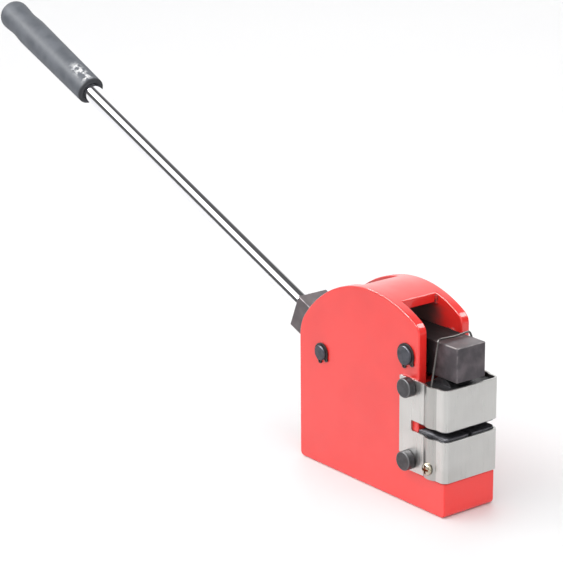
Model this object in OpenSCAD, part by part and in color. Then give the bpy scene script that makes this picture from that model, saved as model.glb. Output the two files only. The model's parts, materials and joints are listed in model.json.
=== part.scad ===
// Hand lever sheet metal shrinker for the bench.
// A welded red body carries a handle on its rear pin and a pressing arm on its front pin.
// Pulling the handle down lifts the arm's tail, so the arm's head presses the upper jaws down.
// The jaws slide on wedge faces towards each other and draw the sheet together.
// The origin is the middle of the foot's underside, with +X towards the jaws and +Z up.

/* [Body] */
// Width over both side plates
body_w = 50; // [46:1:60]
// Length of the foot, rear face to front face
foot_l = 170; // [160:1:185]
// Height of the foot that carries the jaws
foot_h = 27.5; // [22:0.5:30]
// Height of the top of the arch
body_h = 157.5; // [152:0.5:175]
// Radius of the arch
arch_r = 98.4; // [92:0.2:110]
// Place of the arch's centre, from the middle of the foot
arch_x = -0.6; // [-6:0.2:6]
// Radius that blends the rear face into the arch
shoulder_r = 30; // [20:1:40]
// Radius that blends the arch into the wall that the jaws stand against
brow_r = 10; // [4:0.5:14]
// Radius of the foot's lower corners
corner_r = 4; // [1:0.5:8]
// Thickness of one side plate
plate_t = 8; // [6:0.5:10]
// Thickness of the bridge that joins the side plates on top
bridge_t = 7.5; // [5:0.5:10]
// Length of the bridge
bridge_l = 44; // [30:1:50]
// Place of the bridge's middle, from the middle of the foot
bridge_x = 5; // [0:1:8]

/* [Pivots] */
// Rear pin, from the rear face
rear_pin_in = 27.7; // [25:0.1:32]
// Rear pin height
rear_pin_z = 93; // [90:0.5:96]
// Rear pin diameter
rear_pin_d = 12; // [10:0.5:15]
// Front pin, behind the wall that the jaws stand against
front_pin_in = 13.9; // [12:0.1:18]
// Front pin height
front_pin_z = 117; // [115:0.5:120]
// Front pin diameter
front_pin_d = 15; // [12:0.5:17]
// Length of pin that stands out of each side plate
pin_out = 3.2; // [2.6:0.1:5]
// Chamfer on the pin ends
pin_chamfer = 0.8; // [0.3:0.1:1.2]
// Thickness of the retaining rings
ring_t = 1.2; // [0.8:0.1:1.5]
// Radial width of the retaining rings outside the pin
ring_w = 1.6; // [1.2:0.1:2.4]
// Turn of the rings' open ends from straight down, towards the jaws
ring_turn = 20; // [0:5:40]
// Depth of the ring grooves in the pins
groove_d = 0.6; // [0.4:0.1:1]
// Radial width of the spacers on the pins
spacer_w = 5; // [3:0.5:6]

/* [Handle] */
// Rise of the handle above level, towards the rear
handle_rise = 22.2; // [18:0.2:26]
// Side of the square handle block
block_s = 28; // [26:0.5:30]
// Length of the block behind the rear pin
block_back = 52.4; // [45:0.1:60]
// Reach of the block's round nose in front of the rear pin
nose_reach = 26; // [24:0.2:28]
// Diameter of the handle rod
rod_d = 16; // [14:0.5:18]
// Length of the rod between block and grip
rod_l = 326; // [250:1:400]
// Diameter of the rod's threaded end
tenon_d = 12; // [8:0.5:12]
// Length of the rod's threaded end
tenon_l = 24; // [15:1:30]
// Diameter of the grip at its open mouth
grip_mouth_d = 25; // [22:0.5:28]
// Largest diameter of the grip, before its waist
grip_d = 27; // [24:0.2:32]
// Length of the grip
grip_l = 142; // [120:1:180]
// Thickness of the grip's closed end
grip_cap = 18; // [10:1:30]
// Depth of the grip's waist
waist_h = 0.9; // [0.2:0.1:1.5]
// Length of the grip's waist
waist_l = 32; // [24:1:40]
// Place of the waist's middle, from the grip's closed end
waist_in = 26; // [24:1:40]
// Rounding of the grip's end
grip_end_r = 10; // [6:0.5:12.5]
// Rounding of the grip's mouth
lip_r = 2; // [0.5:0.1:3]

/* [Pressing arm] */
// Width of the arm
arm_w = 28; // [26:0.5:30]
// Height of the arm
arm_h = 27; // [24:0.5:28]
// Length of the deeper tail that the handle's nose lifts
tail_l = 24; // [18:1:30]
// Overlap of the tail behind the nose's upper edge
tail_lap = 2; // [1:0.5:3]

/* [Jaws] */
// Height of the throat's middle plane
throat_z = 64.5; // [62:0.5:67]
// Depth of the jaws, from the body's wall to the foot's front
jaw_depth = 29.6; // [26:0.2:34]
// Gap between upper and lower jaws at rest
jaw_gap = 4.6; // [4.4:0.1:6]
// Gap between left and right jaws at rest
jaw_split = 3.6; // [3.4:0.1:5]
// Slope of the wedge faces
wedge_angle = 20; // [18:1:24]
// Thickness of a jaw at its outer edge
jaw_edge = 4.2; // [3.6:0.1:6]
// Pitch of the gripping teeth
tooth_pitch = 1.2; // [0.8:0.1:2]
// Height of the gripping teeth
tooth_h = 0.5; // [0.3:0.1:0.8]
// Width of the jaw's guide tongue at its neck
neck_w = 6; // [5:0.5:8]
// Width of the jaw's guide tongue at its head
tongue_w = 10; // [9:0.5:13]
// Height of the tongue's neck and of its head
tongue_h = 2.2; // [1.6:0.1:3]
// Height of the upper holder's shoulders
shoulder_z = 98; // [96:0.5:100]
// Radius of the crowned pad on the upper holder
pad_r = 12; // [10:0.5:14]
// Place of the pad, in front of the body's wall
pad_in = 11; // [10.4:0.1:14]
// Width of the pad
pad_w = 24; // [20:1:28]
// Outer diameter of a jaw spring
spring_d = 6; // [5:0.2:6.4]
// Wire diameter of a jaw spring
spring_wire = 0.9; // [0.6:0.1:1]
// Turns of a jaw spring
spring_turns = 6; // [4:1:7]
// Diameter of a spring pocket
pocket_d = 7; // [6.8:0.1:8]
// Depth of a spring pocket
pocket_l = 6; // [4:0.5:7]
// Height of the spring's axis above the gripping face
pocket_in = 5; // [4.6:0.1:6]

/* [Jaw cover] */
// Thickness of the sheet
sheet_t = 1.8; // [1.2:0.1:2]
// Height of the cover
cover_h = 72.5; // [70:0.5:76]
// Gap under the cover, above the foot
cover_lift = 0.7; // [0.3:0.1:2]
// Length of the flanges along the body's sides
flange_l = 19.4; // [19:0.1:30]
// Height of the throat slot
throat_h = 8; // [7:0.1:10]
// Reach of the throat slot behind the body's wall
slot_in = 5.9; // [5:0.1:10]
// Outer radius of the front corners
front_r = 5; // [3:0.5:7]
// Place of the wire ribs, in front of the body's wall
rib_in = 15.1; // [14:0.1:16]
// Width of the wire ribs
rib_w = 13; // [11:0.5:14]
// Height of the wire ribs
rib_h = 2; // [1.9:0.1:3]

/* [Screws] */
// Diameter of the thumb screw heads
knob_d = 15; // [12:0.5:18]
// Height of the thumb screw heads
knob_h = 6.5; // [5:0.1:9]
// Diameter of the thumb screw shanks
knob_shank_d = 6; // [4:0.5:6]
// Depth of the thumb screws in the side plates
knob_depth = 7.2; // [5:0.1:7.4]
// Thumb screws, behind the body's wall
knob_in = 7.9; // [5:0.1:10]
// Upper thumb screws, below the cover's upper edge
knob_top_in = 6.4; // [6:0.1:10]
// Lower thumb screws, above the cover's lower edge
knob_low_in = 8.6; // [8:0.1:11]
// Width of the cover's screw slots
knob_slot_w = 6.4; // [6.2:0.1:7]
// Diameter of the cover screw heads
pan_d = 9.6; // [8:0.2:10]
// Height of the cover screw heads
pan_h = 2.8; // [2:0.1:3.4]
// Diameter of the cover screw shanks
pan_shank_d = 5; // [4:0.2:5]
// Depth of the cover screws in the lower holder
pan_depth = 9; // [6:0.5:12]
// Height of the cover screws above the foot
pan_z_in = 9; // [7.5:0.5:12]
// Width of the cross recess
cross_w = 1.3; // [0.8:0.1:1.6]
// Span of the cross recess
cross_l = 5; // [4:0.1:6]
// Depth of the cross recess
cross_d = 1.4; // [0.8:0.1:1.8]

/* [Lift wire] */
// Diameter of the wire
wire_d = 1.6; // [1.2:0.1:1.6]
// Height of the wire's middle above the arm
wire_over = 1.9; // [1.8:0.1:4]
// Rise of the wire's ends above its middle
wire_kink = 1; // [0.4:0.1:3]
// Place of the wire's crossbar behind the ribs
wire_back = 4.5; // [3:0.1:7]
// Depth of the wire's hooks in the upper holder
hook_l = 5; // [3:0.5:7]
// Height of the hooks below the holder's shoulders
hook_in = 13; // [10:0.5:15]

/* [Base holes] */
// Distance between the two tapped holes
base_span = 100; // [60:1:120]
// Core diameter of the tapped holes
base_hole_d = 8.5; // [6.8:0.1:10.2]
// Depth of the tapped holes
base_hole_l = 20; // [12:1:21]

/* [Hidden] */
// Clearances
run_gap = 0.05;
flat_gap = 0.1;
slide_gap = 0.3;
tongue_gap = 0.15;
cam_gap = 0.35;
hook_gap = 0.4;
floor_gap = 5;
arm_floor_gap = 6.5;
over = 1;
$fn = 96;
round_fn = 48;

// Body planes
rear_x = -foot_l / 2;
front_x = foot_l / 2;
wall_x = front_x - jaw_depth;
slot_w = body_w - 2 * plate_t;
arch_z = body_h - arch_r;
// The shoulder circle touches the rear face and, from inside, the arch.
shoulder_x = rear_x + shoulder_r;
shoulder_dx = shoulder_x - arch_x;
shoulder_y = arch_z + sqrt(pow(arch_r - shoulder_r, 2) - pow(shoulder_dx, 2));
// The brow circle touches the wall and, from inside, the arch.
brow_x = wall_x - brow_r;
brow_dx = brow_x - arch_x;
brow_y = arch_z + sqrt(pow(arch_r - brow_r, 2) - pow(brow_dx, 2));

// Pivots
rear_pin_x = rear_x + rear_pin_in;
front_pin_x = wall_x - front_pin_in;
ring_y = body_w / 2 + flat_gap;
// Ears at the ends of a retaining ring: radius, radius of the hole, and angles from the middle of the opening
ear_r = 1.9;
ear_hole_r = 0.85;
ear_angle = 31;
gap_angle = 18;

// Rod in the grip, and the steps of the grip's round stretches
grip_hold = grip_l - grip_cap;
lip_steps = 4;
waist_steps = 12;
end_steps = 10;

// Handle nose and arm tail
nose_x = rear_pin_x + nose_reach * cos(handle_rise);
nose_z = rear_pin_z - nose_reach * sin(handle_rise);
nose_r = block_s / 2;
tail_z = nose_z + nose_r + cam_gap;
tail_x = nose_x + nose_r * sin(handle_rise) - tail_lap;
arm_top = front_pin_z + arm_h / 2;
arm_bottom = front_pin_z - arm_h / 2;
rear_floor_z = nose_z - nose_r - floor_gap;
arm_floor_z = arm_bottom - arm_floor_gap;
floor_step_x = tail_x + tail_l;

// Cover planes
cover_in_y = body_w / 2 + flat_gap;
cover_out_y = cover_in_y + sheet_t;
cover_in_x = front_x + 2 * flat_gap;
cover_out_x = cover_in_x + sheet_t;
cover_z0 = foot_h + cover_lift;
cover_z1 = cover_z0 + cover_h;
flange_x = wall_x - flange_l;
rib_x = wall_x + rib_in;
rib_top_y = cover_out_y + rib_h;
rib_r = (pow(rib_w / 2, 2) + pow(rib_h, 2)) / (2 * rib_h);
rib_y = rib_top_y - rib_r;
knob_x = wall_x - knob_in;
knob_zs = [cover_z0 + knob_low_in, cover_z1 - knob_top_in];
knob_y = cover_out_y + flat_gap;
knob_hole_y = body_w / 2 - knob_depth - flat_gap;
pan_z = foot_h + pan_z_in;

// Jaw and holder planes
holder_x0 = wall_x + slide_gap;
holder_x1 = front_x - flat_gap;
holder_y = body_w / 2 - 2 * flat_gap;
holder_r = front_r - sheet_t + flat_gap;
jaw_x0 = holder_x0 + flat_gap;
jaw_x1 = holder_x1 - flat_gap;
jaw_y = holder_y - flat_gap;
jaw_mid_x = (holder_x0 + holder_x1) / 2;
face_z = throat_z + jaw_gap / 2;
wedge_z = face_z + jaw_edge + holder_y * tan(wedge_angle);
// Inner ends of the tongues and of their slots, along the wedge face from the middle plane
tongue_in = 8;
tongue_slot_in = 5.5;
tongue_out = (jaw_y - over) / cos(wedge_angle);
pad_x = wall_x + pad_in;
pad_top_z = arm_bottom - cam_gap;
pad_z = pad_top_z - pad_r;
pan_hole_y = holder_y - pan_depth - flat_gap;

// Corners of the lift wire, from the left hook in the holder to the middle of the crossbar
wire_r = wire_d / 2;
wire_y = (holder_y + rib_top_y - sheet_t) / 2;
hook_z = shoulder_z - hook_in;
bend_y = arm_w / 2 + wire_r + 2 * slide_gap;
bend_x = rib_x - wire_back;
wire_z = arm_top + wire_over;
wire_half = [
    [rib_x, holder_y - hook_l, hook_z],
    [rib_x, wire_y, hook_z],
    [rib_x, wire_y, cover_z1 - over],
    [bend_x, bend_y, wire_z + wire_kink],
    [bend_x, 0, wire_z]
];
wire_half_last = len(wire_half) - 1;
wire_corners = concat(
    wire_half,
    [for (i = [wire_half_last - 1 : -1 : 0]) [wire_half[i][0], -wire_half[i][1], wire_half[i][2]]]
);
wire_last = len(wire_corners) - 1;
// Each bend starts this far from its corner and turns in this many steps
wire_bend = 1.6 * wire_d;
wire_steps = 4;
wire_sides = 10;
function unit(v) = v / norm(v);
function bend_point(a, b, c, t) =
    pow(1 - t, 2) * (b + wire_bend * unit(a - b)) + 2 * t * (1 - t) * b
    + pow(t, 2) * (b + wire_bend * unit(c - b));
wire_points = [
    wire_corners[0],
    for (i = [1 : wire_last - 1]) for (k = [0 : wire_steps])
        bend_point(wire_corners[i - 1], wire_corners[i], wire_corners[i + 1], k / wire_steps),
    wire_corners[wire_last]
];
wire_rings = len(wire_points) - 1;
function wire_along(i) = unit(wire_points[min(i + 1, wire_rings)] - wire_points[max(i - 1, 0)]);
function wire_side(i) = unit(cross(wire_along(i), [1, 0, 0]));
function wire_ring(i) = [
    for (k = [0 : wire_sides - 1])
        wire_points[i]
        + wire_r * cos(360 * k / wire_sides) * wire_side(i)
        + wire_r * sin(360 * k / wire_sides) * cross(wire_along(i), wire_side(i))
];

// Jaw spring: one open helix between the pockets
spring_l = jaw_split + 2 * (pocket_l - flat_gap) - spring_wire;
spring_r = (spring_d - spring_wire) / 2;
spring_steps = 8;
spring_sides = 6;
spring_rings = spring_turns * spring_steps;
function spring_point(i) = [
    spring_r * cos(360 * i / spring_steps),
    spring_l * (i / spring_rings - 0.5),
    spring_r * sin(360 * i / spring_steps)
];
function spring_normal(i) = [cos(360 * i / spring_steps), 0, sin(360 * i / spring_steps)];
function spring_ring(i) = [
    for (k = [0 : spring_sides - 1])
        spring_point(i)
        + spring_wire / 2 * cos(360 * k / spring_sides) * spring_normal(i)
        + spring_wire / 2 * sin(360 * k / spring_sides) * [0, 1, 0]
];
// Least clear distance between stretches of the wire that are half a turn or more apart
spring_least_gap = min([
    for (i = [0 : spring_rings])
        for (j = [i + spring_steps / 2 : 1 : spring_rings])
            norm(spring_point(i) - spring_point(j)) - spring_wire
]);
echo(spring_least_gap = spring_least_gap);

// Shared shapes

// Cylinder along Y through the middle plane, of total length l
module cross_rod(x, z, d, l) {
    translate([x, 0, z]) rotate([90, 0, 0]) cylinder(h = l, d = d, center = true);
}

// A shape drawn in X and Z, with thickness w across the middle plane
module side_plate(w) {
    rotate([90, 0, 0]) linear_extrude(w, center = true) children();
}

// A shape drawn in Y and Z, from x0 to x1
module front_plate(x0, x1) {
    translate([x0, 0, 0]) rotate([90, 0, 90]) linear_extrude(x1 - x0) children();
}

// Both sides of the middle plane
module both_sides() {
    children();
    mirror([0, 1, 0]) children();
}

// The lower jaws mirror the upper ones in the throat's middle plane
module below_throat() {
    translate([0, 0, 2 * throat_z]) mirror([0, 0, 1]) children();
}

// Frame of the handle: its own X runs forwards along the handle, from the rear pin
module handle_frame() {
    translate([rear_pin_x, 0, rear_pin_z]) rotate([0, handle_rise, 0]) children();
}

// Frame of a left wedge face: its own Y runs outwards along the face, Z stands off it
module wedge_frame() {
    translate([0, 0, wedge_z]) rotate([-wedge_angle, 0, 0]) children();
}

// Round bar between two points
module bar(p, q, d) {
    v = q - p;
    translate(p) rotate([0, acos(v[2] / norm(v)), atan2(v[1], v[0])])
        cylinder(h = norm(v), d = d, $fn = round_fn);
}

// Closed tube through a list of rings, with flat ends
module tube(rings) {
    sides = len(rings[0]);
    last = (len(rings) - 1) * sides;
    faces = [
        for (i = [0 : len(rings) - 2]) for (k = [0 : sides - 1])
            let (a = i * sides + k, b = i * sides + (k + 1) % sides)
                each [[a, a + sides, b], [b, a + sides, b + sides]],
        for (k = [1 : sides - 2]) each [[0, k, k + 1], [last, last + k + 1, last + k]]
    ];
    polyhedron([for (r = rings) each r], faces);
}

// Plan of a block between x0 and x1 with rounded front corners
module plan(x0, x1, y, r) {
    translate([x0, -y]) square([x1 - x0 - r, 2 * y]);
    translate([x0, -y + r]) square([x1 - x0, 2 * (y - r)]);
    for (s = [-1, 1]) translate([x1 - r, s * (y - r)]) circle(r);
}

// Body

module body_outline() {
    // Foot with rounded lower corners
    translate([rear_x, corner_r]) square([foot_l, foot_h - corner_r]);
    translate([rear_x + corner_r, 0]) square([foot_l - 2 * corner_r, corner_r]);
    for (x = [rear_x + corner_r, front_x - corner_r]) translate([x, corner_r]) circle(corner_r);
    // Upright
    translate([rear_x, foot_h - over]) square([wall_x - rear_x, shoulder_y - foot_h + over]);
    translate([shoulder_x, shoulder_y]) circle(shoulder_r);
    // Arch, from the shoulder to the brow
    intersection() {
        translate([arch_x, arch_z]) circle(arch_r, $fn = 2 * $fn);
        polygon([
            [arch_x, arch_z],
            [arch_x + 2 * shoulder_dx, arch_z + 2 * (shoulder_y - arch_z)],
            [arch_x + 2 * shoulder_dx, body_h + over],
            [arch_x + brow_dx * (arch_r + over) / (brow_y - arch_z), body_h + over]
        ]);
    }
    // Brow, from the arch down to the wall
    translate([brow_x, brow_y]) circle(brow_r);
    translate([arch_x, foot_h - over]) square([wall_x - arch_x, brow_y - foot_h + over]);
}

// Space between the side plates: open at the rear and in front, closed on top by the bridge
module body_hollow() {
    difference() {
        polygon([
            [rear_x - over, rear_floor_z],
            [floor_step_x, rear_floor_z],
            [floor_step_x + arm_floor_z - rear_floor_z, arm_floor_z],
            [wall_x + over, arm_floor_z],
            [wall_x + over, body_h + over],
            [rear_x - over, body_h + over]
        ]);
        intersection() {
            translate([bridge_x - bridge_l / 2, arch_z]) square([bridge_l, arch_r + over]);
            difference() {
                translate([arch_x, arch_z]) circle(arch_r + 2 * over, $fn = 2 * $fn);
                translate([arch_x, arch_z]) circle(arch_r - bridge_t, $fn = 2 * $fn);
            }
        }
    }
}

module body() {
    color("red") difference() {
        side_plate(body_w) body_outline();
        side_plate(slot_w) body_hollow();
        cross_rod(rear_pin_x, rear_pin_z, rear_pin_d + 2 * run_gap, body_w + 2 * over);
        cross_rod(front_pin_x, front_pin_z, front_pin_d + 2 * run_gap, body_w + 2 * over);
        both_sides() for (z = knob_zs)
            bar([knob_x, knob_hole_y, z], [knob_x, body_w / 2 + over, z], knob_shank_d + 2 * run_gap);
        for (x = [-base_span / 2, base_span / 2])
            translate([x, 0, -over]) cylinder(h = base_hole_l + over, d = base_hole_d);
    }
}

// Pins, rings and spacers

// Pin through both plates, with chamfered ends and a ring groove at each end
module pivot_pin(x, z, d) {
    l = body_w + 2 * pin_out;
    translate([x, 0, z]) rotate([90, 0, 0]) difference() {
        union() {
            cylinder(h = l - 2 * pin_chamfer, d = d, center = true);
            for (s = [0, 180]) rotate([s, 0, 0]) translate([0, 0, l / 2 - pin_chamfer])
                cylinder(h = pin_chamfer, d1 = d, d2 = d - 2 * pin_chamfer);
        }
        for (s = [0, 180]) rotate([s, 0, 0]) translate([0, 0, ring_y - flat_gap / 2])
            difference() {
                cylinder(h = ring_t + flat_gap, d = d + 2 * over);
                translate([0, 0, -over]) cylinder(h = ring_t + 3 * over, d = d - 2 * groove_d);
            }
    }
}

// Outline of a retaining ring, open between its two eared ends
module ring_outline(d) {
    bore_r = d / 2 - groove_d + run_gap;
    ear_y = -bore_r - ear_r;
    rotate(ring_turn) difference() {
        union() {
            circle(d / 2 + ring_w);
            for (a = [-ear_angle, ear_angle]) rotate(a) translate([0, ear_y]) circle(ear_r, $fn = round_fn);
        }
        circle(bore_r);
        polygon([[0, 0], for (a = [-gap_angle, gap_angle]) 2 * ear_y * [sin(a), cos(a)]]);
        for (a = [-ear_angle, ear_angle]) rotate(a) translate([0, ear_y]) circle(ear_hole_r, $fn = round_fn);
    }
}

module pin_rings(x, z, d) {
    both_sides() translate([x, ring_y + ring_t, z]) rotate([90, 0, 0]) linear_extrude(ring_t) ring_outline(d);
}

// Washers that keep a bar in the middle of the slot
module spacers(x, z, d, bar_w) {
    t = (slot_w - bar_w) / 2 - flat_gap;
    both_sides() translate([x, slot_w / 2, z]) rotate([90, 0, 0]) difference() {
        cylinder(h = t, d = d + 2 * spacer_w);
        translate([0, 0, -over]) cylinder(h = t + 2 * over, d = d + 2 * run_gap);
    }
}

module rear_pivot_pin() {
    color("dimgray") pivot_pin(rear_pin_x, rear_pin_z, rear_pin_d);
}

module rear_pin_rings() {
    color("black") pin_rings(rear_pin_x, rear_pin_z, rear_pin_d);
}

module rear_spacers() {
    color("silver") spacers(rear_pin_x, rear_pin_z, rear_pin_d, block_s);
}

module front_pivot_pin() {
    color("dimgray") pivot_pin(front_pin_x, front_pin_z, front_pin_d);
}

module front_pin_rings() {
    color("black") pin_rings(front_pin_x, front_pin_z, front_pin_d);
}

module front_spacers() {
    color("silver") spacers(front_pin_x, front_pin_z, front_pin_d, arm_w);
}

// Handle

module handle_block() {
    color("slategray") handle_frame() difference() {
        union() {
            translate([-block_back, -block_s / 2, -block_s / 2])
                cube([block_back + nose_reach, block_s, block_s]);
            cross_rod(nose_reach, 0, block_s, block_s);
        }
        cross_rod(0, 0, rear_pin_d + 2 * run_gap, block_s + 2 * over);
        translate([-block_back - over, 0, 0]) rotate([0, 90, 0])
            cylinder(h = tenon_l + flat_gap + over, d = tenon_d + 2 * run_gap);
    }
}

module handle_rod() {
    color("lightgray") handle_frame() {
        translate([-block_back - rod_l - grip_hold, 0, 0]) rotate([0, 90, 0])
            cylinder(h = rod_l + grip_hold, d = rod_d);
        translate([-block_back - over, 0, 0]) rotate([0, 90, 0])
            cylinder(h = tenon_l + over, d = tenon_d);
    }
}

// Half section of the grip, from its open mouth to its rounded end
module grip_section() {
    bore_r = rod_d / 2 + run_gap;
    bore_l = grip_hold + flat_gap;
    waist_run = min(waist_l, 2 * (waist_in - grip_end_r));
    waist_y = grip_l - waist_in - waist_run / 2;
    polygon([
        [bore_r, 0],
        for (i = [0 : lip_steps]) let (a = 90 * i / lip_steps)
            [grip_mouth_d / 2 - lip_r + lip_r * sin(a), lip_r - lip_r * cos(a)],
        for (i = [0 : waist_steps]) let (t = i / waist_steps)
            [grip_d / 2 - waist_h * (1 - cos(360 * t)) / 2, waist_y + waist_run * t],
        for (i = [0 : end_steps]) let (a = 90 * i / end_steps)
            [grip_d / 2 - grip_end_r * (1 - cos(a)), grip_l - grip_end_r * (1 - sin(a))],
        [0, grip_l],
        [0, bore_l],
        [bore_r, bore_l]
    ]);
}

module handle_grip() {
    color("gray") handle_frame() translate([-block_back - rod_l, 0, 0]) rotate([0, -90, 0])
        rotate_extrude() grip_section();
}

// Pressing arm

module arm_outline() {
    polygon([
        [tail_x, tail_z],
        [tail_x + tail_l, tail_z],
        [tail_x + tail_l, arm_bottom],
        [front_x, arm_bottom],
        [front_x, arm_top],
        [tail_x, arm_top]
    ]);
}

module pressing_arm() {
    color("dimgray") difference() {
        side_plate(arm_w) arm_outline();
        cross_rod(front_pin_x, front_pin_z, front_pin_d + 2 * run_gap, arm_w + 2 * over);
    }
}

// Jaw cover and its screws

// Plan of the cover at one face of the sheet, with its two wire ribs
module cover_plan(x1, y, r, bow) {
    plan(flange_x - over, x1, y, r);
    for (s = [-1, 1]) translate([rib_x, s * rib_y]) circle(bow);
}

module cover_sheet() {
    intersection() {
        translate([flange_x, -body_w]) square([foot_l, 2 * body_w]);
        difference() {
            cover_plan(cover_out_x, cover_out_y, front_r, rib_r);
            cover_plan(cover_in_x, cover_in_y, front_r - sheet_t, rib_r - sheet_t);
        }
    }
}

module jaw_cover() {
    color("silver") difference() {
        translate([0, 0, cover_z0]) linear_extrude(cover_h) cover_sheet();
        translate([wall_x - slot_in, -body_w, throat_z - throat_h / 2])
            cube([foot_l, 2 * body_w, throat_h]);
        for (z = knob_zs) {
            translate([flange_x - over, -body_w, z - knob_slot_w / 2])
                cube([knob_x - flange_x + over, 2 * body_w, knob_slot_w]);
            cross_rod(knob_x, z, knob_slot_w, 2 * body_w);
        }
        cross_rod(rib_x, pan_z, pan_shank_d + 4 * run_gap, 2 * body_w);
    }
}

// Cross recess in the head of a screw along Y, with its face at y
module cross_recess(y) {
    for (a = [0, 90]) translate([0, y, 0]) rotate([0, a, 0])
        translate([-cross_l / 2, -cross_d, -cross_w / 2]) cube([cross_l, cross_d + over, cross_w]);
}

// Pan head screws that hold the cover to the lower holder
module cover_screws() {
    edge = pan_h / 3;
    color("khaki") both_sides() translate([rib_x, 0, pan_z]) difference() {
        union() {
            bar([0, holder_y - pan_depth, 0], [0, rib_top_y + over, 0], pan_shank_d);
            translate([0, rib_top_y, 0]) rotate([-90, 0, 0]) {
                cylinder(h = pan_h - edge, d = pan_d);
                translate([0, 0, pan_h - edge]) cylinder(h = edge, d1 = pan_d, d2 = pan_d - 2 * edge);
            }
        }
        cross_recess(rib_top_y + pan_h);
    }
}

// Thumb screw on the left side, at height z
module thumb_screw(z) {
    edge = knob_h / 8;
    color("black") translate([knob_x, 0, z]) {
        bar([0, body_w / 2 - knob_depth, 0], [0, knob_y + over, 0], knob_shank_d);
        translate([0, knob_y, 0]) rotate([-90, 0, 0]) {
            cylinder(h = knob_h - edge, d = knob_d);
            translate([0, 0, knob_h - edge]) cylinder(h = edge, d1 = knob_d, d2 = knob_d - 2 * edge);
        }
    }
}

module thumb_screw_left_top() {
    thumb_screw(knob_zs[1]);
}

module thumb_screw_left_bottom() {
    thumb_screw(knob_zs[0]);
}

module thumb_screw_right_top() {
    mirror([0, 1, 0]) thumb_screw(knob_zs[1]);
}

module thumb_screw_right_bottom() {
    mirror([0, 1, 0]) thumb_screw(knob_zs[0]);
}

// Jaws and holders

// Guide tongue on a wedge face, from u0 to u1 along it, grown by g all round
module tongue(u0, u1, g) {
    wedge_frame() {
        translate([jaw_mid_x - neck_w / 2 - g, u0, -over])
            cube([neck_w + 2 * g, u1 - u0, tongue_h + over + 2 * g]);
        translate([jaw_mid_x - tongue_w / 2 - g, u0, tongue_h - g])
            cube([tongue_w + 2 * g, u1 - u0, tongue_h + 2 * g]);
    }
}

// Section of the upper left jaw: toothed below, sloped above
module jaw_section() {
    back_z = wedge_z - tongue_gap;
    teeth = floor((jaw_y - jaw_split / 2) / tooth_pitch);
    polygon([
        for (i = [0 : teeth - 1]) each [
            [jaw_split / 2 + i * tooth_pitch, face_z],
            [jaw_split / 2 + (i + 0.5) * tooth_pitch, face_z + tooth_h]
        ],
        [jaw_split / 2 + teeth * tooth_pitch, face_z],
        [jaw_y, face_z],
        [jaw_y, back_z - jaw_y * tan(wedge_angle)],
        [jaw_split / 2, back_z - jaw_split / 2 * tan(wedge_angle)]
    ]);
}

module upper_left_jaw() {
    intersection() {
        difference() {
            union() {
                front_plate(jaw_x0, jaw_x1) jaw_section();
                tongue(tongue_in, tongue_out, 0);
            }
            bar(
                [jaw_mid_x, jaw_split / 2 - over, face_z + pocket_in],
                [jaw_mid_x, jaw_split / 2 + pocket_l, face_z + pocket_in],
                pocket_d
            );
        }
        linear_extrude(body_h) plan(jaw_x0, jaw_x1, jaw_y, holder_r);
    }
}

module upper_jaw_left() {
    color("black") upper_left_jaw();
}

module upper_jaw_right() {
    color("black") mirror([0, 1, 0]) upper_left_jaw();
}

module lower_jaw_left() {
    color("black") below_throat() upper_left_jaw();
}

module lower_jaw_right() {
    color("black") below_throat() mirror([0, 1, 0]) upper_left_jaw();
}

// Block with wedge faces on its underside, up to height top_z
module wedge_block(top_z) {
    edge_z = wedge_z - holder_y * tan(wedge_angle);
    difference() {
        intersection() {
            linear_extrude(body_h) plan(holder_x0, holder_x1, holder_y, holder_r);
            front_plate(holder_x0, holder_x1)
                polygon([
                    [-holder_y, edge_z], [0, wedge_z], [holder_y, edge_z],
                    [holder_y, top_z], [-holder_y, top_z]
                ]);
        }
        both_sides() tongue(tongue_slot_in, body_w, tongue_gap);
    }
}

// Crowned pad that the arm's head presses on
module crown_pad() {
    intersection() {
        cross_rod(pad_x, pad_z, 2 * pad_r, pad_w);
        translate([holder_x0, -pad_w, shoulder_z - over])
            cube([holder_x1 - holder_x0, 2 * pad_w, pad_top_z - shoulder_z + 2 * over]);
    }
}

module upper_jaw_holder() {
    color("dimgray") difference() {
        union() {
            wedge_block(shoulder_z);
            crown_pad();
        }
        both_sides() bar(
            [rib_x, holder_y - hook_l - flat_gap, hook_z],
            [rib_x, holder_y + over, hook_z],
            wire_d + 2 * hook_gap
        );
    }
}

module lower_jaw_holder() {
    color("dimgray") difference() {
        below_throat() wedge_block(2 * throat_z - foot_h);
        both_sides() bar(
            [rib_x, pan_hole_y, pan_z],
            [rib_x, holder_y + over, pan_z],
            pan_shank_d + 2 * run_gap
        );
    }
}

// Open helix along Y at the middle of the jaws
module jaw_spring() {
    translate([jaw_mid_x, 0, face_z + pocket_in]) tube([for (i = [0 : spring_rings]) spring_ring(i)]);
}

module upper_jaw_spring() {
    color("lightgray") jaw_spring();
}

module lower_jaw_spring() {
    color("lightgray") below_throat() jaw_spring();
}

// Lift wire

module lift_wire() {
    color("silver") tube([for (i = [0 : wire_rings]) wire_ring(i)]);
}

body();
rear_pivot_pin();
rear_pin_rings();
rear_spacers();
front_pivot_pin();
front_pin_rings();
front_spacers();
handle_block();
handle_rod();
handle_grip();
pressing_arm();
jaw_cover();
cover_screws();
thumb_screw_right_top();
thumb_screw_right_bottom();
thumb_screw_left_top();
thumb_screw_left_bottom();
lower_jaw_holder();
upper_jaw_holder();
upper_jaw_right();
upper_jaw_left();
lower_jaw_right();
lower_jaw_left();
upper_jaw_spring();
lower_jaw_spring();
lift_wire();
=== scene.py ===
import json
import math

import bpy
from mathutils import Matrix, Vector

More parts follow.
